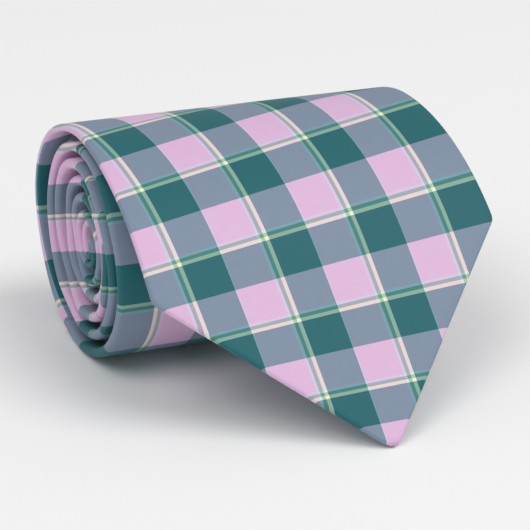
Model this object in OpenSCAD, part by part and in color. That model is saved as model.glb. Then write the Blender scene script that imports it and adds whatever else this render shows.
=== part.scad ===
// Rolled necktie: folded near the middle, rolled up on its side, the wide
// blade's point hanging from the top of the roll down to the table.
// X runs along the roll's axis, the point faces -Y, +Z is up.

/* [Tie] */
// Width of the wide blade across its two corners
blade_w = 101.6; // [96:0.1:106]
// Width of the neck, the narrowest part
neck_w = 38; // [34:1:42]
// Width of the narrow tail across its corners
tail_w = 46; // [42:1:50]
// Thickness of the pressed tie, shell and interlining together
tie_t = 2.2; // [2.1:0.05:2.2]
// Length of the wide point, from its corners to its tip
point_len = 52.5; // [48:0.5:56]
// Length of the tail's point
tail_point_len = 24; // [20:1:28]

/* [Roll] */
// Height of the roll
roll_h = 67.6; // [67.5:0.1:67.7]
// Depth of the roll from front to back
roll_d = 74.4; // [73:0.2:78]
// Rise of the spiral in one turn, for the blade and the tail together
pair_pitch = 5; // [4.95:0.05:5.1]
// Turns of the blade from the top of the roll to the fold
blade_turns = 5.8; // [5.7:0.1:5.8]
// Turn at which the tail's tip lies
tail_tip_turn = 0.6; // [0.55:0.05:0.8]
// Slant of the blade as it wraps the roll, in degrees
helix = 5.2; // [3:0.1:7]

/* [Hanging point] */
// Angle of the point below level, in degrees
drop_angle = 48.1; // [44:0.5:52]
// Radius of the bend where the point leaves the roll
bend_r = 69.6; // [64:0.2:74]
// Gap at the line where the point lifts
lift_gap = 0.6; // [0.4:0.1:0.8]

/* [Trim] */
// Distance from the wide tip to the top of its lining's opening
blade_opening = 100; // [92:1:102]
// Distance from the tail's tip to the top of its lining's opening
tail_opening = 60; // [52:1:64]
// Distance from the wide tip to the blade and neck seam
blade_seam_at = 600; // [560:5:640]
// Distance from the wide tip to the neck and tail seam
tail_seam_at = 1000; // [960:5:1040]
// Distance from the wide tip to the keeper loop
keeper_at = 200; // [190:1:205]
// Width of the keeper loop along the tie
keeper_len = 14; // [10:1:16]
// Length of the keeper loop across the tie
keeper_span = 52; // [44:1:60]
// Distance from the wide tip to the label
label_at = 160; // [150:1:165]
// Width of the label across the tie
label_w = 44; // [36:1:50]
// Height of the label along the tie
label_len = 20; // [14:1:24]

/* [Hidden] */

shell_t = 0.45;            // one ply of the folded shell
ply_gap = 0.1;             // air between the plies
slit = 0.4;                // half the gap between the shell's two back edges
hem = 12;                  // shell turned over the back beside the lining
opening_slope = 0.7;       // how fast the opening for the lining widens, to each side
blunt = 3;                 // width left at a tip
thread = 0.4;              // thickness of the sewing thread
step = 12;                 // degrees between two sections of the spiral
seat_snap = 0.4;           // sections this close to the table are pressed flat on it
rim_run = 40;              // length behind the top that keeps the wrap's slant
flush_run = 200;           // length behind the top where the turns lie flush
flush_x = -55;             // left edge of the flush turns
full_w_end = 130;          // distance from the tip where the blade starts to narrow
neck_at = 720;             // distance from the tip where the neck is reached
tail_inset = 26;           // how far the tail's tip lies inside the left end
shell_colour = [0.53, 0.58, 0.67];
lining_colour = [0.16, 0.42, 0.44];
canvas_colour = [0.93, 0.91, 0.86];
thread_colour = [0.88, 0.75, 0.87];

// ---- the hanging point, measured as sigma down its front face from the roll's top
bend_len = bend_r * drop_angle * PI / 180;
sigma_tip = bend_len + (roll_h - bend_r * (1 - cos(drop_angle)) - tie_t * cos(drop_angle))
    / sin(drop_angle);
sigma_mid = sigma_tip - point_len * cos(helix);
sigma_l = sigma_mid + blade_w / 2 * sin(helix);
sigma_r = sigma_mid - blade_w / 2 * sin(helix);
corner_x = blade_w / 2 * cos(helix);
tip_x = point_len * sin(helix);

function bend_angle(sigma) = min(sigma / bend_r * 180 / PI, drop_angle);
function straight(sigma) = max(0, sigma - bend_len);
function mix(a, b, t) = a + (b - a) * t;
function left_x(sigma) = sigma < sigma_l
    ? -corner_x - (sigma_l - sigma) * tan(helix)
    : mix(-corner_x, tip_x - blunt / 2, (sigma - sigma_l) / (sigma_tip - sigma_l));
function right_x(sigma) = sigma < sigma_r
    ? corner_x - (sigma_r - sigma) * tan(helix)
    : mix(corner_x, tip_x + blunt / 2, (sigma - sigma_r) / (sigma_tip - sigma_r));

// A section is [y, z, back_y, back_z, left x, right x, distance from the wide tip]:
// the middle of the cloth, the direction of its back, and its two edges.
function point_section(sigma) =
    let (h = bend_angle(sigma), back = [sin(h), -cos(h)],
        y = -bend_r * sin(h) - straight(sigma) * cos(drop_angle),
        z = roll_h - bend_r * (1 - cos(h)) - straight(sigma) * sin(drop_angle))
    [y + back[0] * tie_t / 2, z + back[1] * tie_t / 2, back[0], back[1],
        left_x(sigma), right_x(sigma), sigma_tip - sigma];

bend_steps = 14;
tip_steps = 7;
point_sigmas = [for (i = [0 : tip_steps]) mix(sigma_tip, sigma_l, i / tip_steps),
    (sigma_l + sigma_r) / 2, sigma_r,
    for (i = [bend_steps : -1 : 1]) mix(lift_gap, bend_len, (i - 0.5) / bend_steps), lift_gap];
point = [for (sigma = point_sigmas) point_section(sigma)];

// ---- the spiral: an oval that shrinks by one pitch a turn
ring_a = (roll_h + pair_pitch / 2) / 2;
oval = roll_d / (2 * ring_a - pair_pitch);
axis_z = roll_h - ring_a;

function ring(turn, inset) = ring_a - tie_t / 2 - inset - pair_pitch * turn;
function spiral_yz(turn, inset) =
    [oval * ring(turn, inset) * sin(360 * turn), axis_z + ring(turn, inset) * cos(360 * turn)];
function outward(turn) =
    let (v = [sin(360 * turn) / oval, cos(360 * turn)]) v / norm(v);
// Presses the lowest sections flat on the table
function seated(p, out) = let (face = p[1] + out[1] * tie_t / 2)
    face < seat_snap ? [p[0], p[1] - face] : p;

turn_step = step / 360;
blade_sections = floor(blade_turns / turn_step - 0.5);
blade_turn_list = [0, for (i = [1 : blade_sections]) (i - 0.5) * turn_step, blade_turns];
tail_sections = floor((blade_turns - tail_tip_turn) / turn_step);
tail_turn_list = [for (i = [0 : tail_sections]) blade_turns - i * turn_step];

function with_back(p, back) = [p[0], p[1], back[0], back[1]];
blade_curve = [for (t = blade_turn_list)
    with_back(seated(spiral_yz(t, 0), outward(t)), -outward(t))];
tail_curve = [for (t = tail_turn_list) with_back(spiral_yz(t, pair_pitch / 2), outward(t))];

// The fold is a half circle from the blade's last section to the tail's first
fold_from = spiral_yz(blade_turns, 0);
fold_to = spiral_yz(blade_turns, pair_pitch / 2);
fold_mid = (fold_from + fold_to) / 2;
fold_arm = fold_from - fold_mid;
fold_out = outward(blade_turns);
fold_ahead = [fold_out[1], -fold_out[0]];
fold_curve = [for (a = [30 : 30 : 150])
    let (dir = cos(a) * fold_out + sin(a) * fold_ahead)
    with_back(fold_mid + norm(fold_arm) * dir, -dir)];

curve = concat(blade_curve, fold_curve, tail_curve);
function step_len(i) = norm([curve[i][0] - curve[i - 1][0], curve[i][1] - curve[i - 1][1]]);
runs = [for (i = 0, r = 0; i < len(curve); i = i + 1, r = r + (i < len(curve) ? step_len(i) : 0)) r];
tie_len = sigma_tip + runs[len(runs) - 1];
fold_run = runs[len(blade_curve) + 2];

rim_x = left_x(0);
function roll_left(run) = lookup(run, [[0, rim_x], [rim_run, rim_x - rim_run * tan(helix)],
    [flush_run, flush_x], [fold_run, flush_x + 1], [tie_len - sigma_tip, flush_x + tail_inset]]);
function narrowing(s) = s < full_w_end ? 1 : s > neck_at ? 0
    : (1 + cos(180 * (s - full_w_end) / (neck_at - full_w_end))) / 2;
top_w = blade_w / cos(helix);
function tail_taper(s) = min(1, max(0, (s - neck_at) / (tie_len - tail_point_len - neck_at)));
function flat_w(s) = neck_w + (top_w - neck_w) * narrowing(s) + (tail_w - neck_w) * tail_taper(s);
function roll_w(s) = let (left = tie_len - s)
    left < tail_point_len ? mix(blunt, flat_w(s), left / tail_point_len) : flat_w(s);
// The tail's point is centred on the tail, so its left edge moves in as it narrows
function point_inset(s) = let (left = tie_len - s)
    left < tail_point_len ? (flat_w(s) - roll_w(s)) / 2 : 0;

roll = [for (i = [0 : len(curve) - 1])
    let (s = sigma_tip + runs[i], x = roll_left(runs[i]) + point_inset(s))
    [curve[i][0], curve[i][1], curve[i][2], curve[i][3], x, x + roll_w(s), s]];

// Sections of the roll between two distances from the wide tip
function between(from, to) = [for (c = roll) if (c[6] >= from && c[6] <= to) c];

// ---- place: the box's bottom centre is the origin
all_sections = concat(point, roll);
function face_y(c, depth) = c[0] + c[2] * (depth - tie_t / 2);
shift_x = -(min([for (c = all_sections) c[4]]) + max([for (c = all_sections) c[5]])) / 2;
shift_y = -(min([for (c = point) face_y(c, 0)]) + max([for (c = roll) face_y(c, 0)])) / 2;

// A point of a section: x across the tie, depth from its front face to its back
function at(c, x, depth) = [x + shift_x, face_y(c, depth) + shift_y,
    c[1] + c[3] * (depth - tie_t / 2)];
function middle(c) = (c[4] + c[5]) / 2;
function width(c) = c[5] - c[4];
// Half the opening between the shell's back edges, wide beside a lining
function opening(c) = let (w = width(c), wide = w / 2 - min(hem, 0.3 * w),
        below = max(blade_opening - c[6], c[6] - tie_len + tail_opening))
    max(slit, min(wide, below * opening_slope));

// ---- closed solids swept through a list of sections
function swept_sides(n, m) = [for (i = [0 : n - 2], j = [0 : m - 1])
    let (a = i * m + j, b = i * m + (j + 1) % m, c = b + m, d = a + m) each [[a, d, c], [a, c, b]]];
function swept_end(n, m, caps) = [for (q = caps) [for (k = [len(q) - 1 : -1 : 0]) q[k] + (n - 1) * m]];
module swept(loops, caps) {
    n = len(loops);
    m = len(loops[0]);
    polyhedron([for (l = loops) each l], concat(swept_sides(n, m), caps, swept_end(n, m, caps)));
}

SLAB_CAPS = [[0, 1, 2, 3]];
SHELL_CAPS = [[0, 1, 6, 7], [1, 2, 5, 6], [2, 3, 4, 5], [0, 7, 8, 11], [11, 8, 9, 10]];

function slab_loop(c, xa, xb, da, db) = [at(c, xa, da), at(c, xb, da), at(c, xb, db), at(c, xa, db)];
// The folded shell: a front ply, two rounded-over edges and two back plies with a gap between
function shell_loop(c) = let (l = c[4], r = c[5], m = middle(c), g = opening(c),
        t = tie_t, u = shell_t, v = tie_t - shell_t)
    [at(c, l, 0), at(c, r, 0), at(c, r, t), at(c, m + g, t), at(c, m + g, v), at(c, r - u, v),
        at(c, r - u, u), at(c, l + u, u), at(c, l + u, v), at(c, m - g, v), at(c, m - g, t),
        at(c, l, t)];

module shell(sections) {
    swept([for (c = sections) shell_loop(c)], SHELL_CAPS);
}
module interlining(sections) {
    e = shell_t + ply_gap;
    swept([for (c = sections) slab_loop(c, c[4] + e, c[5] - e, e, tie_t - e)], SLAB_CAPS);
}
module seam_thread(sections) {
    h = thread / 2;
    swept([for (c = sections) slab_loop(c, middle(c) - h, middle(c) + h, tie_t - thread - 0.02,
        tie_t - 0.02)], SLAB_CAPS);
}
module tipping(sections) {
    swept([for (c = sections) slab_loop(c, middle(c) - opening(c) + 0.2, middle(c) + opening(c) - 0.2,
        tie_t - shell_t + 0.05, tie_t - 0.1)], SLAB_CAPS);
}
// A bar lying across the tie at one section, len long and deep along and through it
module cross_bar(c, span, len, from, to) {
    dir = [c[3], -c[2]];
    ends = [for (k = [-0.5, 0.5]) [c[0] + dir[0] * k * len, c[1] + dir[1] * k * len,
        c[2], c[3], c[4], c[5], c[6]]];
    swept([for (e = [ends[1], ends[0]]) slab_loop(e, middle(e) - span / 2, middle(e) + span / 2,
        from, to)], SLAB_CAPS);
}

flap_closed = [for (c = point) if (c[6] > blade_opening + 2) c];
flap_open = [for (c = point) if (c[6] > 3 && c[6] < blade_opening - 2) c];
flap_over_tack = [for (c = point) if (c[6] < blade_opening) c];

// The section a distance d after section a, on the way to section b
function shifted(a, b, d) = let (f = d / (b[6] - a[6])) [for (k = [0 : 6]) mix(a[k], b[k], f)];
function last(list) = list[len(list) - 1];

// The panels, each starting a short gap after the one before it
panel_gap = 1;
blade_list = between(0, blade_seam_at);
neck_roll = between(blade_seam_at, tail_seam_at);
tail_roll = between(tail_seam_at, tie_len);
neck_list = concat([shifted(last(blade_list), neck_roll[0], panel_gap)], neck_roll);
tail_list = concat([shifted(last(neck_roll), tail_roll[0], panel_gap)], tail_roll);

// The two lengths of interlining
canvas_join_at = blade_seam_at + 130;
canvas_list = between(0, canvas_join_at);
canvas_roll = between(canvas_join_at, tie_len - 3);
canvas_tail_list = concat([shifted(last(canvas_list), canvas_roll[0], panel_gap)], canvas_roll);

module blade_point_shell() { color(shell_colour) shell(point); }
module blade_point_interlining() {
    color(canvas_colour) interlining([for (c = point) if (c[6] > 3) c]);
}
module blade_tipping() { color(lining_colour) tipping(flap_open); }
module blade_bar_tack() {
    color(thread_colour) cross_bar(last(flap_over_tack), 6, 1.2, tie_t + 0.02, tie_t + 0.6);
}
module blade_point_seam_thread() { color(thread_colour) seam_thread(flap_closed); }

module blade_shell() { color(shell_colour) shell(blade_list); }
module blade_interlining() { color(canvas_colour) interlining(canvas_list); }
module blade_seam_thread() { color(thread_colour) seam_thread(blade_list); }

module neck_shell() { color(shell_colour) shell(neck_list); }
module neck_seam_thread() { color(thread_colour) seam_thread(neck_list); }
module tail_shell() { color(shell_colour) shell(tail_list); }
module tail_interlining() { color(canvas_colour) interlining(canvas_tail_list); }
module tail_seam_thread() {
    color(thread_colour) seam_thread([for (c = tail_list) if (c[6] < tie_len - tail_opening - 2) c]);
}
module tail_tipping() {
    color(lining_colour)
        tipping([for (c = tail_list) if (c[6] > tie_len - tail_opening + 2 && c[6] < tie_len - 3) c]);
}
module tail_bar_tack() {
    color(thread_colour) cross_bar(last([for (c = tail_list) if (c[6] < tie_len - tail_opening) c]),
        5, 1.2, tie_t + 0.02, tie_t + 0.12);
}

// A thread across the gap between two lengths of cloth
module gap_thread(before, after, inset, from, to) {
    mid = shifted(last(before), after[0], panel_gap / 2);
    color(thread_colour) cross_bar(mid, width(mid) - inset, thread, from, to);
}
module blade_neck_seam() { gap_thread(blade_list, neck_list, 2, 0.03, 0.03 + thread); }
module neck_tail_seam() { gap_thread(neck_list, tail_list, 2, 0.03, 0.03 + thread); }
module interlining_join() { gap_thread(canvas_list, canvas_tail_list, 4, 0.7, 1.5); }

// ---- pieces on the blade's back, in the room that the tail's end leaves
// The section at one distance from the wide tip, on the way between its two neighbours
function section_at(s) = let (near = [for (c = roll) if (c[6] <= s) c],
        far = [for (c = roll) if (c[6] > s) c], a = last(near))
    shifted(a, far[0], s - a[6]);
// The sections under a patch that is span long, so that it follows the roll's own bend
function patch_list(at_s, span) = concat([section_at(at_s - span / 2)],
    between(at_s - span / 2 + 0.5, at_s + span / 2 - 0.5), [section_at(at_s + span / 2)]);
band_t = 0.5;
band_lift = 1;
function band_loop(c) = let (m = middle(c), h = keeper_span / 2, t = tie_t + 0.05)
    [at(c, m - h, t), at(c, m - h + 4, t), at(c, m - h + 7, t + band_lift),
        at(c, m + h - 7, t + band_lift), at(c, m + h - 4, t), at(c, m + h, t),
        at(c, m + h, t + band_t), at(c, m + h - 4, t + band_t), at(c, m + h - 7, t + band_t + band_lift),
        at(c, m - h + 7, t + band_t + band_lift), at(c, m - h + 4, t + band_t), at(c, m - h, t + band_t)];
BAND_CAPS = [[0, 1, 10, 11], [1, 2, 9, 10], [2, 3, 8, 9], [3, 4, 7, 8], [4, 5, 6, 7]];
module keeper_loop() {
    color(shell_colour) swept([for (c = patch_list(keeper_at, keeper_len)) band_loop(c)], BAND_CAPS);
}
// Two short rows of stitches across one list of sections, each row at one side
module side_stitches(sections, span, depth) {
    for (side = [-1, 1])
        swept([for (c = sections) slab_loop(c, middle(c) + side * span / 2 - thread / 2,
            middle(c) + side * span / 2 + thread / 2, depth, depth + 0.3)], SLAB_CAPS);
}
module keeper_stitches() {
    color(thread_colour)
        side_stitches(patch_list(keeper_at, keeper_len - 3), keeper_span - 4, tie_t + 0.05 + band_t + 0.02);
}
label_t = 0.35;
module maker_label() {
    color(canvas_colour) swept([for (c = patch_list(label_at, label_len))
        slab_loop(c, middle(c) - label_w / 2, middle(c) + label_w / 2, tie_t + 0.05,
            tie_t + 0.05 + label_t)], SLAB_CAPS);
}
module label_stitches() {
    color(thread_colour)
        side_stitches(patch_list(label_at, label_len - 3), label_w - 3, tie_t + 0.05 + label_t + 0.02);
}

blade_point_shell();
blade_point_interlining();
blade_tipping();
blade_bar_tack();
blade_point_seam_thread();
blade_shell();
blade_interlining();
blade_seam_thread();
blade_neck_seam();
neck_shell();
neck_seam_thread();
neck_tail_seam();
tail_shell();
tail_interlining();
tail_seam_thread();
interlining_join();
tail_tipping();
tail_bar_tack();
keeper_loop();
keeper_stitches();
maker_label();
label_stitches();
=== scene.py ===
import bisect
import math

import bmesh
import bpy
from mathutils import Matrix, Vector, noise


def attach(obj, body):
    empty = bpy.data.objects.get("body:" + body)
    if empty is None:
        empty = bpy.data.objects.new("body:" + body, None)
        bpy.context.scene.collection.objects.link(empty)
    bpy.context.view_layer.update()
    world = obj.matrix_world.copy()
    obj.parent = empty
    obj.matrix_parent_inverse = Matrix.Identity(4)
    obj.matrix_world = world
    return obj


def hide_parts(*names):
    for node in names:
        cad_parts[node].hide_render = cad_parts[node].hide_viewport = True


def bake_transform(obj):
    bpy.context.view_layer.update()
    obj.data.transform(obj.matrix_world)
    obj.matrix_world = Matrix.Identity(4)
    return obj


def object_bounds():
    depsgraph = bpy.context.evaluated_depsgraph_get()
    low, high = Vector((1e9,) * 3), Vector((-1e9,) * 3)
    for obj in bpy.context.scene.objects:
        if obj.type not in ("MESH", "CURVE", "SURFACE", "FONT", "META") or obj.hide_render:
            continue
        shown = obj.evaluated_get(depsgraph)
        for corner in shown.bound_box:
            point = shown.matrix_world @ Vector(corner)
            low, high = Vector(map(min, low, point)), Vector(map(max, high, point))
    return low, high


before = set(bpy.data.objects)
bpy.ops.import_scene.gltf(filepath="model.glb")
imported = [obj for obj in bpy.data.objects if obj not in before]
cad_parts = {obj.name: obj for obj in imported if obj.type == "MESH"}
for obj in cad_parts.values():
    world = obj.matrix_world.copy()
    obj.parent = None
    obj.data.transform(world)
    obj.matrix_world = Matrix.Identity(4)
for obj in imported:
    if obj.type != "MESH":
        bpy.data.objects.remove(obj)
cadLow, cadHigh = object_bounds()
print("loaded", len(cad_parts), "CAD nodes")

mm = 0.001

# the tie's own measures, in mm
tie = {
    "bladeWidth": 101.6, "neckWidth": 38, "tailWidth": 46, "thickness": 2.2, "ply": 0.45,
    "pointLength": 52.5, "tailPoint": 24, "bladeOpening": 100, "tailOpening": 60,
    "bladeSeam": 600, "tailSeam": 1000, "wideUntil": 130, "neckFrom": 720,
    "hem": 12, "hemShare": 0.3, "slit": 0.4, "openingSlope": 0.7, "tipWidth": 3, "cornerSoft": 0.9,
    "tipRound": 1.5, "tipLeast": 0.04,
}
rollShape = {
    "height": 67.6, "depth": 74.4, "pitch": 5, "turns": 5.8, "tailTipTurn": 0.6, "helix": 5.2,
    "drop": 48.1, "bend": 69.6, "flushLeft": -55, "tailInset": 26, "slantRun": 40, "spacing": 1.3,
    "underside": 98, "pressBelow": 0.9, "pressRest": 0.15, "pressGain": 1.2,
}


def mix(a, b, t):
    return a + (b - a) * t


def clamp(value, low, high):
    return max(low, min(high, value))


def ease(t):
    t = clamp(t, 0, 1)
    return t * t * (3 - 2 * t)


def lookup(knots, value):  # straight lines between the knots
    if value <= knots[0][0]:
        return knots[0][1]
    for (a, p), (b, q) in zip(knots, knots[1:]):
        if value <= b:
            return mix(p, q, (value - a) / (b - a))
    return knots[-1][1]


# the tie's course: sigma runs down the hanging point, then the cloth winds into the roll
t = tie["thickness"]
helixSin = math.sin(math.radians(rollShape["helix"]))
helixCos = math.cos(math.radians(rollShape["helix"]))
helixTan = helixSin / helixCos
dropSin = math.sin(math.radians(rollShape["drop"]))
dropCos = math.cos(math.radians(rollShape["drop"]))
bend = rollShape["bend"]
bendLength = bend * math.radians(rollShape["drop"])
sigmaTip = bendLength + (rollShape["height"] - bend * (1 - dropCos) - t * dropCos) / dropSin
sigmaMid = sigmaTip - tie["pointLength"] * helixCos
cornerX = tie["bladeWidth"] / 2 * helixCos
tipX = tie["pointLength"] * helixSin
ringA = (rollShape["height"] + rollShape["pitch"] / 2) / 2
oval = rollShape["depth"] / (2 * ringA - rollShape["pitch"])
axisZ = rollShape["height"] - ringA
shiftX = cadHigh.x / mm - cornerX
shiftY = cadLow.y / mm + bend * dropSin + (sigmaTip - bendLength) * dropCos


def spiralPoint(turn, inset, side):  # the cloth's middle at one turn of the roll
    angle, ring = 2 * math.pi * turn, ringA - t / 2 - inset - rollShape["pitch"] * turn
    out = Vector((math.sin(angle) / oval, math.cos(angle))).normalized()
    y, z = oval * ring * math.sin(angle), axisZ + ring * math.cos(angle)
    face = z + out.y * t / 2
    if inset == 0 and face < rollShape["pressBelow"]:  # the lowest turn is pressed flat on the table
        z += max(0, (face - rollShape["pressRest"]) * rollShape["pressGain"]) - face
    return [y, z, side * out.x, side * out.y]


def rollCourse():
    course, turn = [], 0
    while turn < rollShape["turns"]:
        course.append(spiralPoint(turn, 0, -1))
        turn += rollShape["spacing"] / (2 * math.pi * (ringA - rollShape["pitch"] * turn))
    a = spiralPoint(rollShape["turns"], 0, -1)
    b = spiralPoint(rollShape["turns"], rollShape["pitch"] / 2, 1)
    course.append(a)
    middle, arm = ((a[0] + b[0]) / 2, (a[1] + b[1]) / 2), math.dist(a[:2], b[:2]) / 2
    out = (-a[2], -a[3])
    for k in range(1, 8):  # the fold at the roll's middle
        c, s = math.cos(math.pi * k / 8), math.sin(math.pi * k / 8)
        d = (c * out[0] + s * out[1], c * out[1] - s * out[0])
        course.append([middle[0] + arm * d[0], middle[1] + arm * d[1], -d[0], -d[1]])
    foldAt, turn = len(course) - 4, rollShape["turns"]
    while turn > rollShape["tailTipTurn"]:
        course.append(spiralPoint(turn, rollShape["pitch"] / 2, 1))
        turn -= rollShape["spacing"] / (2 * math.pi * (ringA - rollShape["pitch"] * turn))
    course.append(spiralPoint(rollShape["tailTipTurn"], rollShape["pitch"] / 2, 1))
    runs = [0]
    for p, q in zip(course, course[1:]):
        runs.append(runs[-1] + math.dist(p[:2], q[:2]))
    return course, runs, runs[foldAt]


course, runs, foldRun = rollCourse()
tieLength = sigmaTip + runs[-1]
joinAt = sigmaTip + rollShape["underside"]
print("tie length", round(tieLength), "mm, fold at", round(sigmaTip + foldRun))


def station(s):
    if s < sigmaTip:
        sigma = sigmaTip - s
        angle, straight = min(sigma / bend, math.radians(rollShape["drop"])), max(0, sigma - bendLength)
        back = (math.sin(angle), -math.cos(angle))
        y = -bend * back[0] - straight * dropCos
        z = rollShape["height"] - bend * (1 + back[1]) - straight * dropSin
        return y + back[0] * t / 2, z + back[1] * t / 2, back[0], back[1]
    run = s - sigmaTip
    i = clamp(bisect.bisect_right(runs, run), 1, len(runs) - 1)
    f = clamp((run - runs[i - 1]) / (runs[i] - runs[i - 1]), 0, 1)
    return tuple(mix(a, b, f) for a, b in zip(course[i - 1], course[i]))


# the point flares a little towards its corners: what it gains at each, and how far up they sit
flare = {"top": 0.8, "leftCorner": -0.9, "rightCorner": 0.8, "leftRise": 1, "rightRise": 2}


def pointEdge(sigma, side):
    gain, rise = (flare[("left" if side < 0 else "right") + end] for end in ("Corner", "Rise"))
    corner = sigmaMid - side * tie["bladeWidth"] / 2 * helixSin
    if sigma < corner - rise:
        shift = mix(flare["top"], gain, sigma / (corner - rise))
        return side * cornerX - (corner - sigma) * helixTan + shift
    along = (sigma - corner + rise) / (sigmaTip - corner + rise)
    return mix(side * cornerX - rise * helixTan + gain, tipX + side * tie["tipWidth"] / 2, along)


rimX = pointEdge(0, -1)
joinLean = (rimX + pointEdge(0, 1)) / 2 + sigmaMid * helixTan
rollLeftKnots = [
    (-40, rimX + 40 * helixTan), (rollShape["slantRun"], rimX - rollShape["slantRun"] * helixTan),
    (100, -58.6), (162, -54.2), (210, -55), (268, -57.9), (340, -55.5), (450, -56.2), (560, -54.5),
    (foldRun, rollShape["flushLeft"] + 1),
    (runs[-1], rollShape["flushLeft"] + rollShape["tailInset"]),
]


# how much the turns wander from side to side, as a hand-rolled tie does
sway = {
    "wave": 19, "seed": 0.3, "outer": 0.35, "outerFrom": 60, "outerOver": 60, "inner": 0.7,
    "innerFrom": 260, "innerOver": 80,
}


def flatWidth(s):
    narrow = ease((s - tie["wideUntil"]) / (tie["neckFrom"] - tie["wideUntil"]))
    taper = clamp((s - tie["neckFrom"]) / (tieLength - tie["tailPoint"] - tie["neckFrom"]), 0, 1)
    wide = tie["bladeWidth"] / helixCos
    return mix(wide, tie["neckWidth"], narrow) + (tie["tailWidth"] - tie["neckWidth"]) * taper


def edges(s):  # the tie's left and right edges, s from its wide tip
    if s < sigmaTip:
        sigma, soft = sigmaTip - s, min(tie["cornerSoft"], s)
        found = [sum(pointEdge(sigma + k * soft, side) for k in (-1, -0.5, 0, 0.5, 1)) / 5
            for side in (-1, 1)]
        mid, half = sum(found) / 2, (found[1] - found[0]) / 2
        half *= math.sqrt(max(tie["tipLeast"], 1 - max(0, 1 - s / tie["tipRound"]) ** 2))
        return mid - half, mid + half
    run, wide = s - sigmaTip, flatWidth(s)
    left = sum(lookup(rollLeftKnots, run + k) for k in (-15, -9, -3, 3, 9, 15)) / 6
    end = max(0, 1 - (tieLength - s) / tie["tailPoint"])
    point = mix(wide, tie["tipWidth"], end)
    outer = sway["outer"] * ease((run - sway["outerFrom"]) / sway["outerOver"])
    inner = sway["inner"] * ease((run - sway["innerFrom"]) / sway["innerOver"])
    drift = noise.noise(Vector((s / sway["wave"], sway["seed"], 0))) * (outer + inner)
    return left + (wide - point) / 2 + drift, left + (wide + point) / 2 + drift


def opening(s):
    left, right = edges(s)
    wide = (right - left) / 2 - min(tie["hem"], tie["hemShare"] * (right - left))
    below = max(tie["bladeOpening"] - s, s - tieLength + tie["tailOpening"])
    return max(tie["slit"], min(wide, below * tie["openingSlope"]))


def place(s, x, depth):
    y, z, backY, backZ = station(s)
    return Vector((x + shiftX, y + backY * (depth - t / 2) + shiftY, z + backZ * (depth - t / 2))) * mm


# the print's place on the cloth: whole numbers are the cream lines. The six terms of each bow were
# found by a least-squares program outside this script, and don't follow from the tie's measures
printLayout = {
    "period": 25.6, "centreColumn": 2.5375, "cornerRow": 1.47, "frontLine": 11, "lastColumn": 4.45,
    "bowSpan": 50, "bowBehind": 12.5, "bowSides": (-58, 52), "bowFadeFrom": 12, "bowFadeOver": 50,
    "columnBow": (0.045, -0.067, -0.064, 0.025, 0.079, 0.002),
    "rowBow": (0.018, -0.123, 0.113, 0.232, -0.209, -0.039),
    "behindTop": [(0, 0), (20, -0.82), (95, -3.15), (124, -3.75), (150, -3.25), (182, -2), (225, -0.5),
        (1600, 53)],
    "slantFade": 60, "rimSlip": 0.45, "slipFrom": 18, "slipOver": 12, "rimLag": 40, "rimTeal": 0.25,
    "rimDepth": 9, "rimFrom": 214, "rimHeight": 41.6, "rimTilt": 0.37, "rimPeriod": 21.8,
    "rimColumns": [(-40, -1.4), (-31, -1), (1.2, 0.468), (38, 0.92)],
}


def printPlace(s, x, cut, mid):
    # the column and the row of the print, each bowed by its six terms
    p, sigma, span = printLayout["period"], sigmaTip - s, printLayout["bowSpan"]
    down = (max(sigma, -printLayout["bowBehind"]) - span) / span
    over = clamp(x, *printLayout["bowSides"]) / span
    terms = (1, down, over, down * down, down * over, over * over)
    columnBow = sum(a * b for a, b in zip(printLayout["columnBow"], terms))
    rowBow = sum(a * b for a, b in zip(printLayout["rowBow"], terms))
    lean = mid - (sigma - sigmaMid) * helixTan if sigma > 0 else joinLean
    column = printLayout["centreColumn"] + (cut + lean) * helixCos / p + columnBow
    if sigma > 0:
        row = printLayout["cornerRow"] + ((sigma - sigmaMid) * helixCos + x * helixSin) / p
        return column, row + rowBow
    slant = x * helixSin * (1 - ease(-sigma / printLayout["slantFade"]))
    row = printLayout["cornerRow"] + (slant - sigmaMid * helixCos) / p
    row += lookup(printLayout["behindTop"], -sigma)
    if s > joinAt:  # past the join underneath, the print runs the other way across
        column = 1 - (cut - (edges(s)[0] - mid) - printLayout["frontLine"]) / p
    fade = ease((-sigma - printLayout["bowFadeFrom"]) / printLayout["bowFadeOver"])
    return column, row + rowBow * (1 - fade)


def outerRimPlace(s, spot):
    # on the outer turn's rim the print lags one row behind the face's
    run = s - sigmaTip
    slipped = ease((run - printLayout["slipFrom"]) / printLayout["slipOver"])
    column = spot[0] - printLayout["rimSlip"] * slipped
    row = spot[1] + clamp(run / printLayout["rimLag"], 0, 1)
    return column if s < joinAt else printLayout["rimTeal"], row


def rimPrintPlace(s, x, depth):  # on the inner turns' rims the print lies level
    spot = place(s, x, depth) / mm
    y, z = spot.y - shiftY, spot.z
    row = (z + printLayout["rimTilt"] * y - printLayout["rimHeight"]) / printLayout["rimPeriod"]
    return lookup(printLayout["rimColumns"], y), row


# shader groups: the print, and a fine weave that every cloth shares
def socket(group, name, kind, direction, value=None):
    made = group.interface.new_socket(name=name, in_out=direction, socket_type=kind)
    if value is not None:
        made.default_value = value


def nodeIn(tree, kind, **inputs):
    node = tree.nodes.new(kind)
    for key, value in inputs.items():
        setattr(node, key, value)
    return node


def mathNode(tree, operation, a, b=None):
    node = tree.nodes.new("ShaderNodeMath")
    node.operation = operation
    for i, value in enumerate((a, b)):
        if value is None:
            continue
        if isinstance(value, (int, float)):
            node.inputs[i].default_value = value
        else:
            tree.links.new(value, node.inputs[i])
    return node.outputs[0]


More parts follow.
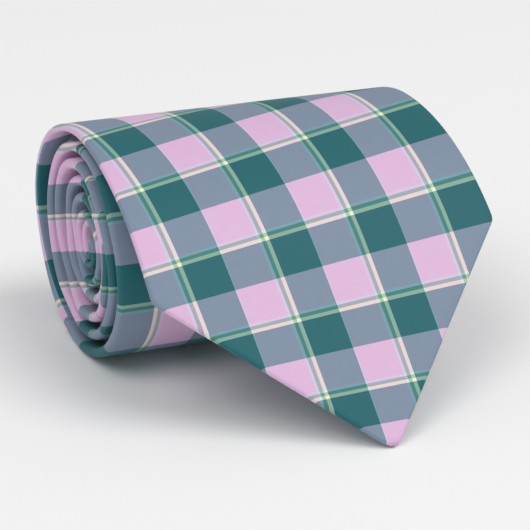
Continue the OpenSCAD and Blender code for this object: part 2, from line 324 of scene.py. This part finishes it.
plaid = {
    "pink": (0.872, 0.716, 0.853), "blue": (0.808, 0.839, 0.914), "green": (0.40, 0.60, 0.53),
    "cream": (0.945, 0.95, 0.80), "teal": (0.12, 0.395, 0.42),
    "rows": [(0, "cream"), (0.021, "teal"), (0.4675, "pink"), (0.9025, "blue"), (0.9375, "green"),
        (0.979, "cream")],
    "columns": [(0, "cream"), (0.021, "teal"), (0.461, "blue"), (0.474, "pink"), (0.9025, "blue"),
        (0.9375, "green"), (0.979, "cream")],
}


def makePlaidGroup():
    group = bpy.data.node_groups.new("plaidPrint", "ShaderNodeTree")
    socket(group, "Vector", "NodeSocketVector", "INPUT")
    socket(group, "Color", "NodeSocketColor", "OUTPUT")
    inward, outward = group.nodes.new("NodeGroupInput"), group.nodes.new("NodeGroupOutput")
    split = group.nodes.new("ShaderNodeSeparateXYZ")
    group.links.new(inward.outputs["Vector"], split.inputs[0])
    ways = []
    for axis, bands in (("X", plaid["columns"]), ("Y", plaid["rows"])):
        part = mathNode(group, "FRACT", split.outputs[axis])
        ramp = group.nodes.new("ShaderNodeValToRGB")
        ramp.color_ramp.interpolation = "CONSTANT"
        stops = ramp.color_ramp.elements
        while len(stops) < len(bands):
            stops.new(1)
        for stop, (at, name) in zip(stops, bands):
            stop.position = at
            stop.color = (*plaid[name], 1)
        group.links.new(part, ramp.inputs[0])
        ways.append(ramp.outputs[0])
    both = nodeIn(group, "ShaderNodeMix", data_type="RGBA")
    both.inputs[0].default_value = 0.5
    group.links.new(ways[0], both.inputs[6])
    group.links.new(ways[1], both.inputs[7])
    gamma = group.nodes.new("ShaderNodeGamma")  # the two inks mix as they look, not as light
    gamma.inputs[1].default_value = 2.2
    group.links.new(both.outputs[2], gamma.inputs[0])
    group.links.new(gamma.outputs[0], outward.inputs[0])
    return group


weaveShape = {"twill": 0.35, "weft": 0.15, "level": 0.5, "speck": 0.3, "speckScale": 9, "speckDetail": 4}


def makeWeaveGroup():
    group = bpy.data.node_groups.new("fineWeave", "ShaderNodeTree")
    socket(group, "Vector", "NodeSocketVector", "INPUT")
    socket(group, "Threads", "NodeSocketFloat", "INPUT", 80)
    socket(group, "Slant", "NodeSocketFloat", "INPUT", 1)
    socket(group, "Depth", "NodeSocketFloat", "INPUT", 0.05)
    socket(group, "Height", "NodeSocketFloat", "OUTPUT")
    socket(group, "Shade", "NodeSocketFloat", "OUTPUT")
    inward, outward = group.nodes.new("NodeGroupInput"), group.nodes.new("NodeGroupOutput")
    split = group.nodes.new("ShaderNodeSeparateXYZ")
    group.links.new(inward.outputs["Vector"], split.inputs[0])
    threads, turn = inward.outputs["Threads"], 2 * math.pi
    u = mathNode(group, "MULTIPLY", split.outputs["X"], threads)
    v = mathNode(group, "MULTIPLY", split.outputs["Y"], threads)
    slanted = mathNode(group, "MULTIPLY", v, inward.outputs["Slant"])
    twill = mathNode(group, "SINE", mathNode(group, "MULTIPLY", mathNode(group, "ADD", u, slanted), turn))
    weft = mathNode(group, "SINE", mathNode(group, "MULTIPLY", v, 2 * turn))
    ribs = mathNode(group, "ADD", mathNode(group, "MULTIPLY", twill, weaveShape["twill"]),
        mathNode(group, "MULTIPLY", weft, weaveShape["weft"]))
    speck = nodeIn(group, "ShaderNodeTexNoise", noise_dimensions="2D")
    speck.inputs["Scale"].default_value = weaveShape["speckScale"]
    speck.inputs["Detail"].default_value = weaveShape["speckDetail"]
    group.links.new(inward.outputs["Vector"], speck.inputs["Vector"])
    group.links.new(mathNode(group, "ADD", mathNode(group, "ADD", ribs, weaveShape["level"]),
        mathNode(group, "MULTIPLY", speck.outputs[0], weaveShape["speck"])), outward.inputs["Height"])
    # Shade tints the base colour along the same ribs as the bump: lighter on the ribs and darker in the
    # grooves is painted shade, and the specks add a random tone
    uneven = mathNode(group, "SUBTRACT", speck.outputs[0], 0.5)
    tone = mathNode(group, "MULTIPLY", mathNode(group, "ADD", ribs, uneven), inward.outputs["Depth"])
    group.links.new(mathNode(group, "ADD", tone, 1), outward.inputs["Shade"])
    return group


plaidGroup = makePlaidGroup()
weaveGroup = makeWeaveGroup()


clothShine = {"sheenRoughness": 0.4, "specular": 0.35}


def startMaterial(name, roughness, sheen):
    material = bpy.data.materials.new(name)
    material.use_nodes = True
    tree = material.node_tree
    shader = tree.nodes["Principled BSDF"]
    shader.inputs["Roughness"].default_value = roughness
    shader.inputs["Sheen Weight"].default_value = sheen
    shader.inputs["Sheen Roughness"].default_value = clothShine["sheenRoughness"]
    shader.inputs["Specular IOR Level"].default_value = clothShine["specular"]
    return material, tree, shader


def addWeave(tree, shader, vector, colour, weave):
    made = tree.nodes.new("ShaderNodeGroup")
    made.node_tree = weaveGroup
    made.inputs["Threads"].default_value = weave["threads"]
    made.inputs["Slant"].default_value = weave["slant"]
    made.inputs["Depth"].default_value = weave["shade"]
    tree.links.new(vector, made.inputs["Vector"])
    bump = tree.nodes.new("ShaderNodeBump")
    bump.inputs["Strength"].default_value = weave["strength"]
    bump.inputs["Distance"].default_value = weave["relief"] * mm
    tree.links.new(made.outputs["Height"], bump.inputs["Height"])
    tree.links.new(bump.outputs[0], shader.inputs["Normal"])
    tinted = nodeIn(tree, "ShaderNodeVectorMath", operation="SCALE")
    if isinstance(colour, tuple):
        tinted.inputs[0].default_value = colour
    else:
        tree.links.new(colour, tinted.inputs[0])
    tree.links.new(made.outputs["Shade"], tinted.inputs["Scale"])
    tree.links.new(tinted.outputs[0], shader.inputs["Base Color"])


def uvVector(tree):
    made = tree.nodes.new("ShaderNodeUVMap")
    made.uv_map = "clothPlace"
    return made.outputs[0]


def objectVector(tree):
    return tree.nodes.new("ShaderNodeTexCoord").outputs["Object"]


printedTwill = {"threads": 80, "slant": 1, "shade": 0.06, "strength": 0.35, "relief": 0.04}
satinLining = {"threads": 120, "slant": 0.2, "shade": 0.08, "strength": 0.25, "relief": 0.03}
wovenCanvas = {"threads": 34, "slant": 0, "shade": 0.22, "strength": 0.8, "relief": 0.2}
ribbonWeave = {"threads": 60, "slant": 0, "shade": 0.1, "strength": 0.5, "relief": 0.06}


def makePlaidCloth():
    material, tree, shader = startMaterial("printedTwill", 0.58, 0.08)
    vector = uvVector(tree)
    made = tree.nodes.new("ShaderNodeGroup")
    made.node_tree = plaidGroup
    tree.links.new(vector, made.inputs[0])
    addWeave(tree, shader, vector, made.outputs[0], printedTwill)
    return material


def makePlainCloth(name, colour, roughness, sheen, weave):
    material, tree, shader = startMaterial(name, roughness, sheen)
    addWeave(tree, shader, uvVector(tree), colour, weave)
    return material


# the thread's colour, and how far it is darkened in the twist's grooves as painted shade
twistedThread = {
    "colour": (0.74, 0.52, 0.70), "twistGrooveShade": 0.72, "roughness": 0.5, "sheen": 0.2, "scale": 900,
    "distortion": 1.5, "strength": 0.6, "relief": 0.05,
}


def makeThreadMaterial(name):
    material, tree, shader = startMaterial(name, twistedThread["roughness"], twistedThread["sheen"])
    twist = nodeIn(tree, "ShaderNodeTexWave", wave_type="BANDS", bands_direction="DIAGONAL")
    twist.inputs["Scale"].default_value = twistedThread["scale"]
    twist.inputs["Distortion"].default_value = twistedThread["distortion"]
    tree.links.new(objectVector(tree), twist.inputs["Vector"])
    bump = tree.nodes.new("ShaderNodeBump")
    bump.inputs["Strength"].default_value = twistedThread["strength"]
    bump.inputs["Distance"].default_value = twistedThread["relief"] * mm
    tree.links.new(twist.outputs["Fac"], bump.inputs["Height"])
    tree.links.new(bump.outputs[0], shader.inputs["Normal"])
    # painted shade: the thread is darker in the twist's grooves, following the same bands as the bump
    tone = nodeIn(tree, "ShaderNodeMix", data_type="RGBA")
    tone.inputs[6].default_value = (*[c * twistedThread["twistGrooveShade"] for c in twistedThread["colour"]], 1)
    tone.inputs[7].default_value = (*twistedThread["colour"], 1)
    tree.links.new(twist.outputs["Fac"], tone.inputs[0])
    tree.links.new(tone.outputs[2], shader.inputs["Base Color"])
    return material


plaidCloth = makePlaidCloth()
liningCloth = makePlainCloth("tealLining", (0.022, 0.145, 0.16), 0.38, 0.1, satinLining)
canvasCloth = makePlainCloth("woolCanvas", (0.80, 0.76, 0.68), 0.85, 0.2, wovenCanvas)
labelCloth = makePlainCloth("creamRibbon", (0.80, 0.78, 0.70), 0.5, 0.1, ribbonWeave)
threadMaterial = makeThreadMaterial("paleThread")
print("materials made")


# sheets: a flat grid, laid along the tie and folded as its section says
def addPiece(name, mesh, material):
    piece = bpy.data.objects.new(name, mesh)
    bpy.context.scene.collection.objects.link(piece)
    mesh.materials.append(material)
    mesh.polygons.foreach_set("use_smooth", [True] * len(mesh.polygons))
    return piece


# rows are places along the tie, columns lie across its cut, and outwardDepth says which side is out
def makeSheet(name, places, sectionAt, thickness, material, outwardDepth=-1):
    sections = [sectionAt(s) for s in places]
    columns = len(sections[0]) - 1
    bm = bmesh.new()
    bmesh.ops.create_grid(bm, x_segments=columns, y_segments=len(places) - 1, size=0.5)
    layer, grid = bm.loops.layers.uv.new("clothPlace"), {}
    for v in bm.verts:
        i, j = round((v.co.y + 0.5) * (len(places) - 1)), round((v.co.x + 0.5) * columns)
        v.co = place(places[i], *sections[i][j][:2])
        grid[v] = (i, j)
    for face in bm.faces:
        i, j = min(grid[v] for v in face.verts)
        kind = sections[i][j][4]
        for loop in face.loops:
            i, j = grid[loop.vert]
            loop[layer].uv = sections[i][j][3][kind]
    bm.normal_update()
    start = place(places[0], *sections[0][columns // 2][:2])
    middle = min(bm.faces, key=lambda face: (face.calc_center_median() - start).length)
    inDepth = place(places[0], 0, 1) - place(places[0], 0, 0)
    if middle.normal.dot(inDepth) * outwardDepth < 0:
        bmesh.ops.reverse_faces(bm, faces=bm.faces)
    mesh = bpy.data.meshes.new(name)
    bm.to_mesh(mesh)
    bm.free()
    piece = addPiece(name, mesh, material)
    wall = piece.modifiers.new("clothThickness", "SOLIDIFY")
    wall.thickness, wall.offset = thickness * mm, 0
    return piece


def spread(start, end, spacing):
    count = max(2, math.ceil((end - start) / spacing))
    return [mix(start, end, i / count) for i in range(count + 1)]


# back, fold and front count the grid's faces across each part of the section
folded = {
    "back": 8, "fold": 8, "front": 28, "fullness": 0.8, "fullFor": 6, "fullFrom": 20, "fullOver": 60,
    "fullUntil": 60, "fullFade": 80, "endRound": 1.6, "endLeast": 0.05, "foldShare": 0.45,
    "gapShare": 0.9, "spacing": 1.2, "tipInset": 0.12, "seamGap": 0.3,
}


def fullness(s):  # how far the back puffs out at the left rim
    run = s - sigmaTip
    rise = ease((run - folded["fullFrom"]) / folded["fullOver"])
    return folded["fullness"] * rise * ease((foldRun - folded["fullUntil"] - run) / folded["fullFade"])


def foldedSection(s):
    left, right = edges(s)
    mid, half, ply, gap = (left + right) / 2, (right - left) / 2, tie["ply"], opening(s)
    fromEnd = max(0, 1 - min(s, tieLength - s) / folded["endRound"])
    thick = t * math.sqrt(max(folded["endLeast"], 1 - fromEnd ** 2))
    lift = (t - thick) / 2
    full = fullness(s)
    leftR, rightR = (thick + full - ply) / 2, (thick - ply) / 2
    leftR, rightR = min(leftR, half * folded["foldShare"]), min(rightR, half * folded["foldShare"])
    innerL, innerR = left + ply / 2 + leftR, right - ply / 2 - rightR
    backGap = min(gap, (innerR - innerL) / 2 * folded["gapShare"])
    points = []
    for k in range(folded["back"]):
        x = mix(mid - backGap, innerL, k / folded["back"])
        swell = full * (1 - ease((x - innerL) / folded["fullFor"]))
        points.append((x, lift + thick - ply / 2 + swell))
    for k in range(folded["fold"]):
        a = math.pi * k / folded["fold"]
        points.append((innerL - leftR * math.sin(a), lift + ply / 2 + leftR * (1 + math.cos(a))))
    for k in range(folded["front"]):
        points.append((mix(innerL, innerR, k / folded["front"]), lift + ply / 2))
    for k in range(folded["fold"]):
        a = math.pi * k / folded["fold"]
        points.append((innerR + rightR * math.sin(a), lift + ply / 2 + rightR * (1 - math.cos(a))))
    for k in range(folded["back"] + 1):
        points.append((mix(innerR, mid + backGap, k / folded["back"]), lift + thick - ply / 2))
    cuts, centre = [0], folded["back"] + folded["fold"] + folded["front"] // 2
    for p, q in zip(points, points[1:]):
        cuts.append(cuts[-1] + math.dist(p, q))
    run, rows = s - sigmaTip, []
    rightFold = folded["back"] + folded["fold"] + folded["front"] + folded["fold"] // 2
    offset = cuts[centre] - (points[centre][0] - mid)
    for j, ((x, depth), cut) in enumerate(zip(points, cuts)):
        face, kind = printPlace(s, x, cut - offset, mid), 0
        if s < joinAt and j <= rightFold:  # the front's last column is teal right up to the fold
            face = (min(face[0], printLayout["lastColumn"]), face[1])
        if run > 0 and x - left < printLayout["rimDepth"]:
            if run > printLayout["rimFrom"]:
                kind = 2
            elif j <= folded["back"] + folded["fold"]:
                kind = 1
        prints = (face, outerRimPlace(s, face), rimPrintPlace(s, x, depth))
        rows.append((x, depth, cut - offset, prints, kind))
    return rows


def liftWithPoint(piece):
    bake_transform(piece)


cloths = [
    ("pointCloth", folded["tipInset"], joinAt, "blade_point_shell", "blend"),
    ("bladeCloth", joinAt, tie["bladeSeam"], "blade_shell", "roll"),
    ("neckCloth", tie["bladeSeam"] + folded["seamGap"], tie["tailSeam"], "neck_shell", "roll"),
    ("tailCloth", tie["tailSeam"] + folded["seamGap"], tieLength - folded["tipInset"], "tail_shell", "roll"),
]
for name, start, end, node, body in cloths:
    piece = makeSheet(name, spread(start, end, folded["spacing"]), foldedSection, tie["ply"],
        plaidCloth)
    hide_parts(node)
    if body == "blend":
        liftWithPoint(piece)
    else:
        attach(piece, body)
print("cloth folded and rolled")

canvas = {
    "inset": 1.2, "insetShare": 0.3, "ends": 3, "depth": 1.08, "thickness": 0.95, "join": 730,
    "joinGap": 0.6, "columns": 14, "spacing": 2.2,
}


def flatSection(s, xa, xb, depth, columns):
    p = printLayout["period"]
    across = [mix(xa, xb, k / columns) for k in range(columns + 1)]
    return [(x, depth, x, ((x / p, s / p),), 0) for x in across]


def canvasSection(s):
    left, right = edges(s)
    inset = min(canvas["inset"], (right - left) * canvas["insetShare"])
    return flatSection(s, left + inset, right - inset, canvas["depth"], canvas["columns"])


lengths = [
    ("pointCanvas", canvas["ends"], joinAt, "blade_point_interlining", "blend"),
    ("bladeCanvas", joinAt, canvas["join"], "blade_interlining", "roll"),
    ("tailCanvas", canvas["join"] + canvas["joinGap"], tieLength - canvas["ends"], "tail_interlining",
        "roll"),
]
for name, start, end, node, body in lengths:
    piece = makeSheet(name, spread(start, end, canvas["spacing"]), canvasSection, canvas["thickness"],
        canvasCloth)
    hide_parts(node)
    if body == "blend":
        liftWithPoint(piece)
    else:
        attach(piece, body)

lining = {
    "tuck": 2.5, "edge": 1.2, "ends": 4, "past": 1, "depth": 1.66, "thickness": 0.12, "columns": 16,
    "spacing": 1.6,
}


def liningSection(s):
    left, right = edges(s)
    mid, half = (left + right) / 2, min(opening(s) + lining["tuck"], (right - left) / 2 - lining["edge"])
    return flatSection(s, mid - half, mid + half, lining["depth"], lining["columns"])


linings = [
    ("bladeLining", lining["ends"], tie["bladeOpening"] + lining["past"], "blade_tipping", "blade_end"),
    ("tailLining", tieLength - tie["tailOpening"] - lining["past"], tieLength - lining["ends"],
        "tail_tipping", "roll"),
]
for name, start, end, node, body in linings:
    piece = makeSheet(name, spread(start, end, lining["spacing"]), liningSection, lining["thickness"],
        liningCloth)
    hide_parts(node)
    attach(piece, body)
print("canvas and linings laid in")


# sewing: every thread is a fine tube along its own path
def makeThreads(name, paths, radius, node, body):
    curve = bpy.data.curves.new(name, "CURVE")
    curve.dimensions, curve.bevel_depth, curve.bevel_resolution = "3D", radius * mm, 1
    curve.use_fill_caps = True
    for path in paths:
        spline = curve.splines.new("POLY")
        spline.points.add(len(path) - 1)
        for point, spot in zip(spline.points, path):
            point.co = (*spot, 1)
    holder = bpy.data.objects.new(name, curve)
    bpy.context.scene.collection.objects.link(holder)
    mesh = bpy.data.meshes.new_from_object(holder.evaluated_get(bpy.context.evaluated_depsgraph_get()))
    bpy.data.objects.remove(holder)
    piece = addPiece(name, mesh, threadMaterial)
    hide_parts(node)
    if body == "blend":
        liftWithPoint(piece)
    else:
        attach(piece, body)
    return piece


# each step of a stitch: how far along, how far across, and how far above the cloth's back
sewing = {
    "radius": 0.13, "slipPitch": 5, "seamPitch": 2.4, "tackPitch": 0.28, "tacks": 6, "tackDepth": 0.3,
    "slip": ((0, -0.7, -0.3), (0.5, -0.6, 0.06), (1.6, 0.6, 0.06), (2.1, 0.7, -0.3), (3.4, 0.1, -0.35)),
    "cross": ((-1, 0, 0.25), (-0.7, 0.2, 0), (0.7, 0.8, 0), (1, 1, 0.25)),
    "tack": ((-0.5, 0), (-0.46, 0.8), (-0.3, 1), (0, 1.05), (0.3, 1), (0.46, 0.8), (0.5, 0)),
    "patchPitch": 2, "patch": ((0, -0.12), (0.2, 0.04), (1, 0.04), (1.2, -0.12)),
}


def slipStitches(start, end):  # a thread to and fro over the gap between the back edges
    path, s = [], start
    while s < end:
        for ahead, x, above in sewing["slip"]:
            left, right = edges(s + ahead)
            path.append(place(s + ahead, (left + right) / 2 + x, t + above))
        s += sewing["slipPitch"]
    return [path]


def crossStitches(s, inset, depth, reach):  # short stitches over a seam, across the tie
    left, right = edges(s)
    paths, x = [], left + inset
    while x < right - inset:
        paths.append([place(s + reach * along, x + across, depth + above)
            for along, across, above in sewing["cross"]])
        x += sewing["seamPitch"]
    return paths


def barTack(s, span, lift):
    left, right = edges(s)
    mid, paths = (left + right) / 2, []
    for k in range(sewing["tacks"]):
        at = s + (k - sewing["tacks"] / 2) * sewing["tackPitch"]
        paths.append([place(at, mid + span * across, t - sewing["tackDepth"] + lift * high)
            for across, high in sewing["tack"]])
    return paths


def patchRows(s, length, span, depth):  # running stitches at both sides of a patch
    left, right = edges(s)
    mid, paths = (left + right) / 2, []
    for side in (-1, 1):
        at = s - length / 2
        while at < s + length / 2 - 1:
            x = mid + side * span / 2
            paths.append([place(at + along, x, depth + above) for along, above in sewing["patch"]])
            at += sewing["patchPitch"]
    return paths


slim = sewing["radius"]
makeThreads("pointSlipThread", slipStitches(tie["bladeOpening"] + 3, joinAt - 4), slim,
    "blade_point_seam_thread", "blend")
makeThreads("bladeSlipThread", slipStitches(joinAt, tie["bladeSeam"] - 5), slim,
    "blade_seam_thread", "roll")
makeThreads("neckSlipThread", slipStitches(tie["bladeSeam"] + 3, tie["tailSeam"] - 5), slim,
    "neck_seam_thread", "roll")
makeThreads("tailSlipThread", slipStitches(tie["tailSeam"] + 3, tieLength - tie["tailOpening"] - 6), slim,
    "tail_seam_thread", "roll")
makeThreads("bladeNeckSeam", crossStitches(tie["bladeSeam"] + 0.15, 2, 0.03, 0.8), slim,
    "blade_neck_seam", "roll")
makeThreads("neckTailSeam", crossStitches(tie["tailSeam"] + 0.15, 2, 0.03, 0.8), slim,
    "neck_tail_seam", "roll")
makeThreads("canvasJoin", crossStitches(canvas["join"] + 0.3, 3, 0.6, 1.6), slim, "interlining_join", "roll")
makeThreads("bladeTack", barTack(tie["bladeOpening"], 6, 0.7), slim * 1.3, "blade_bar_tack", "blade_end")
makeThreads("tailTack", barTack(tieLength - tie["tailOpening"], 5, 0.4), slim, "tail_bar_tack", "roll")
print("seams sewn")

# the keeper loop and the label on the blade's back
patches = {
    "keeperAt": 200, "keeperLength": 14, "keeperSpan": 52, "keeperThickness": 0.45, "keeperLift": 1,
    "keeperSewn": 4, "keeperRise": 3, "keeperGap": 0.05, "keeperPrint": 0.7, "keeperColumns": 36,
    "labelAt": 160, "labelLength": 20, "labelSpan": 44, "labelThickness": 0.3, "labelGap": 0.08,
    "labelColumns": 24,
}


def keeperSection(s):
    left, right = edges(s)
    mid, half, rows = (left + right) / 2, patches["keeperSpan"] / 2, []
    p, low = printLayout["period"], t + patches["keeperGap"] + patches["keeperThickness"] / 2
    for k in range(patches["keeperColumns"] + 1):
        x = mix(mid - half, mid + half, k / patches["keeperColumns"])
        free = (half - abs(x - mid) - patches["keeperSewn"]) / patches["keeperRise"]
        spot = ((s - patches["keeperAt"]) / p + patches["keeperPrint"], x / p)
        rows.append((x, low + patches["keeperLift"] * ease(free), x, (spot,), 0))
    return rows


def labelSection(s):
    left, right = edges(s)
    mid, half = (left + right) / 2, patches["labelSpan"] / 2
    depth = t + patches["labelGap"] + patches["labelThickness"] / 2
    return flatSection(s, mid - half, mid + half, depth, patches["labelColumns"])


def around(at, length, spacing):
    return spread(at - length / 2, at + length / 2, spacing)


keeper = makeSheet("keeperLoop", around(patches["keeperAt"], patches["keeperLength"], 1), keeperSection,
    patches["keeperThickness"], plaidCloth, 1)
label = makeSheet("backLabel", around(patches["labelAt"], patches["labelLength"], 1), labelSection,
    patches["labelThickness"], labelCloth, 1)
for piece, node in ((keeper, "keeper_loop"), (label, "maker_label")):
    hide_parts(node)
    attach(piece, "roll")
makeThreads("keeperStitches", patchRows(patches["keeperAt"], 11, patches["keeperSpan"] - 4,
    t + patches["keeperGap"] + patches["keeperThickness"]), slim, "keeper_stitches", "roll")
makeThreads("labelStitches", patchRows(patches["labelAt"], 17, patches["labelSpan"] - 3,
    t + patches["labelGap"] + patches["labelThickness"]), slim, "label_stitches", "roll")
print("keeper and label sewn on")

# a plain pale studio
studio = {
    "floor": (0.96, 0.96, 0.96), "floorSize": 8, "floorDrop": 0.0001, "floorRoughness": 0.9,
    "floorSpecular": 0.1, "sky": 0.42, "sensor": 36, "clip": (0.01, 20),
    "softboxes": [("rightSoftbox", 64, 2.5, 45, 58, 4), ("leftSoftbox", 43, 2.5, -55, 55, 4)],
    "azimuth": -20.2, "elevation": 22.9, "distance": 0.6, "lens": 136.5, "aim": (0.0047, 0.0221, 0.0197),
}


def addFloor():
    bm = bmesh.new()
    bmesh.ops.create_grid(bm, x_segments=1, y_segments=1, size=studio["floorSize"] / 2)
    mesh = bpy.data.meshes.new("floor")
    bm.to_mesh(mesh)
    bm.free()
    floor = bpy.data.objects.new("floor", mesh)
    bpy.context.scene.collection.objects.link(floor)
    material = bpy.data.materials.new("paleFloor")
    material.use_nodes = True
    shader = material.node_tree.nodes["Principled BSDF"]
    shader.inputs["Base Color"].default_value = (*studio["floor"], 1)
    shader.inputs["Roughness"].default_value = studio["floorRoughness"]
    shader.inputs["Specular IOR Level"].default_value = studio["floorSpecular"]
    mesh.materials.append(material)
    floor.location.z = -studio["floorDrop"]


def awayFromTie(azimuth, elevation):
    a, e = math.radians(azimuth), math.radians(elevation)
    return Vector((math.sin(a) * math.cos(e), -math.cos(a) * math.cos(e), math.sin(e)))


def addLight(name, power, size, azimuth, elevation, distance):
    lamp = bpy.data.lights.new(name, "AREA")
    lamp.energy, lamp.shape, lamp.size = power, "DISK", size
    light = bpy.data.objects.new(name, lamp)
    bpy.context.scene.collection.objects.link(light)
    back = awayFromTie(azimuth, elevation)
    light.location = back * distance
    light.rotation_mode = "QUATERNION"
    light.rotation_quaternion = (-back).to_track_quat("-Z", "Y")


def addCamera():
    lens = bpy.data.cameras.new("camera")
    lens.lens, lens.sensor_width = studio["lens"], studio["sensor"]
    lens.clip_start, lens.clip_end = studio["clip"]
    camera = bpy.data.objects.new("camera", lens)
    bpy.context.scene.collection.objects.link(camera)
    a, back = math.radians(studio["azimuth"]), awayFromTie(studio["azimuth"], studio["elevation"])
    right = Vector((math.cos(a), math.sin(a), 0))
    turned = Matrix((right, back.cross(right), back)).transposed().to_4x4()
    camera.matrix_world = Matrix.Translation(Vector(studio["aim"]) + back * studio["distance"]) @ turned
    bpy.context.scene.camera = camera


def addSky():
    world = bpy.data.worlds.new("studioSky")
    bpy.context.scene.world = world
    world.use_nodes = True
    sky = world.node_tree.nodes["Background"]
    sky.inputs["Color"].default_value = (1, 1, 1, 1)
    sky.inputs["Strength"].default_value = studio["sky"]


bpy.context.scene.view_settings.view_transform = "Standard"
addFloor()
addSky()
for softbox in studio["softboxes"]:
    addLight(*softbox)
addCamera()
print("studio set")
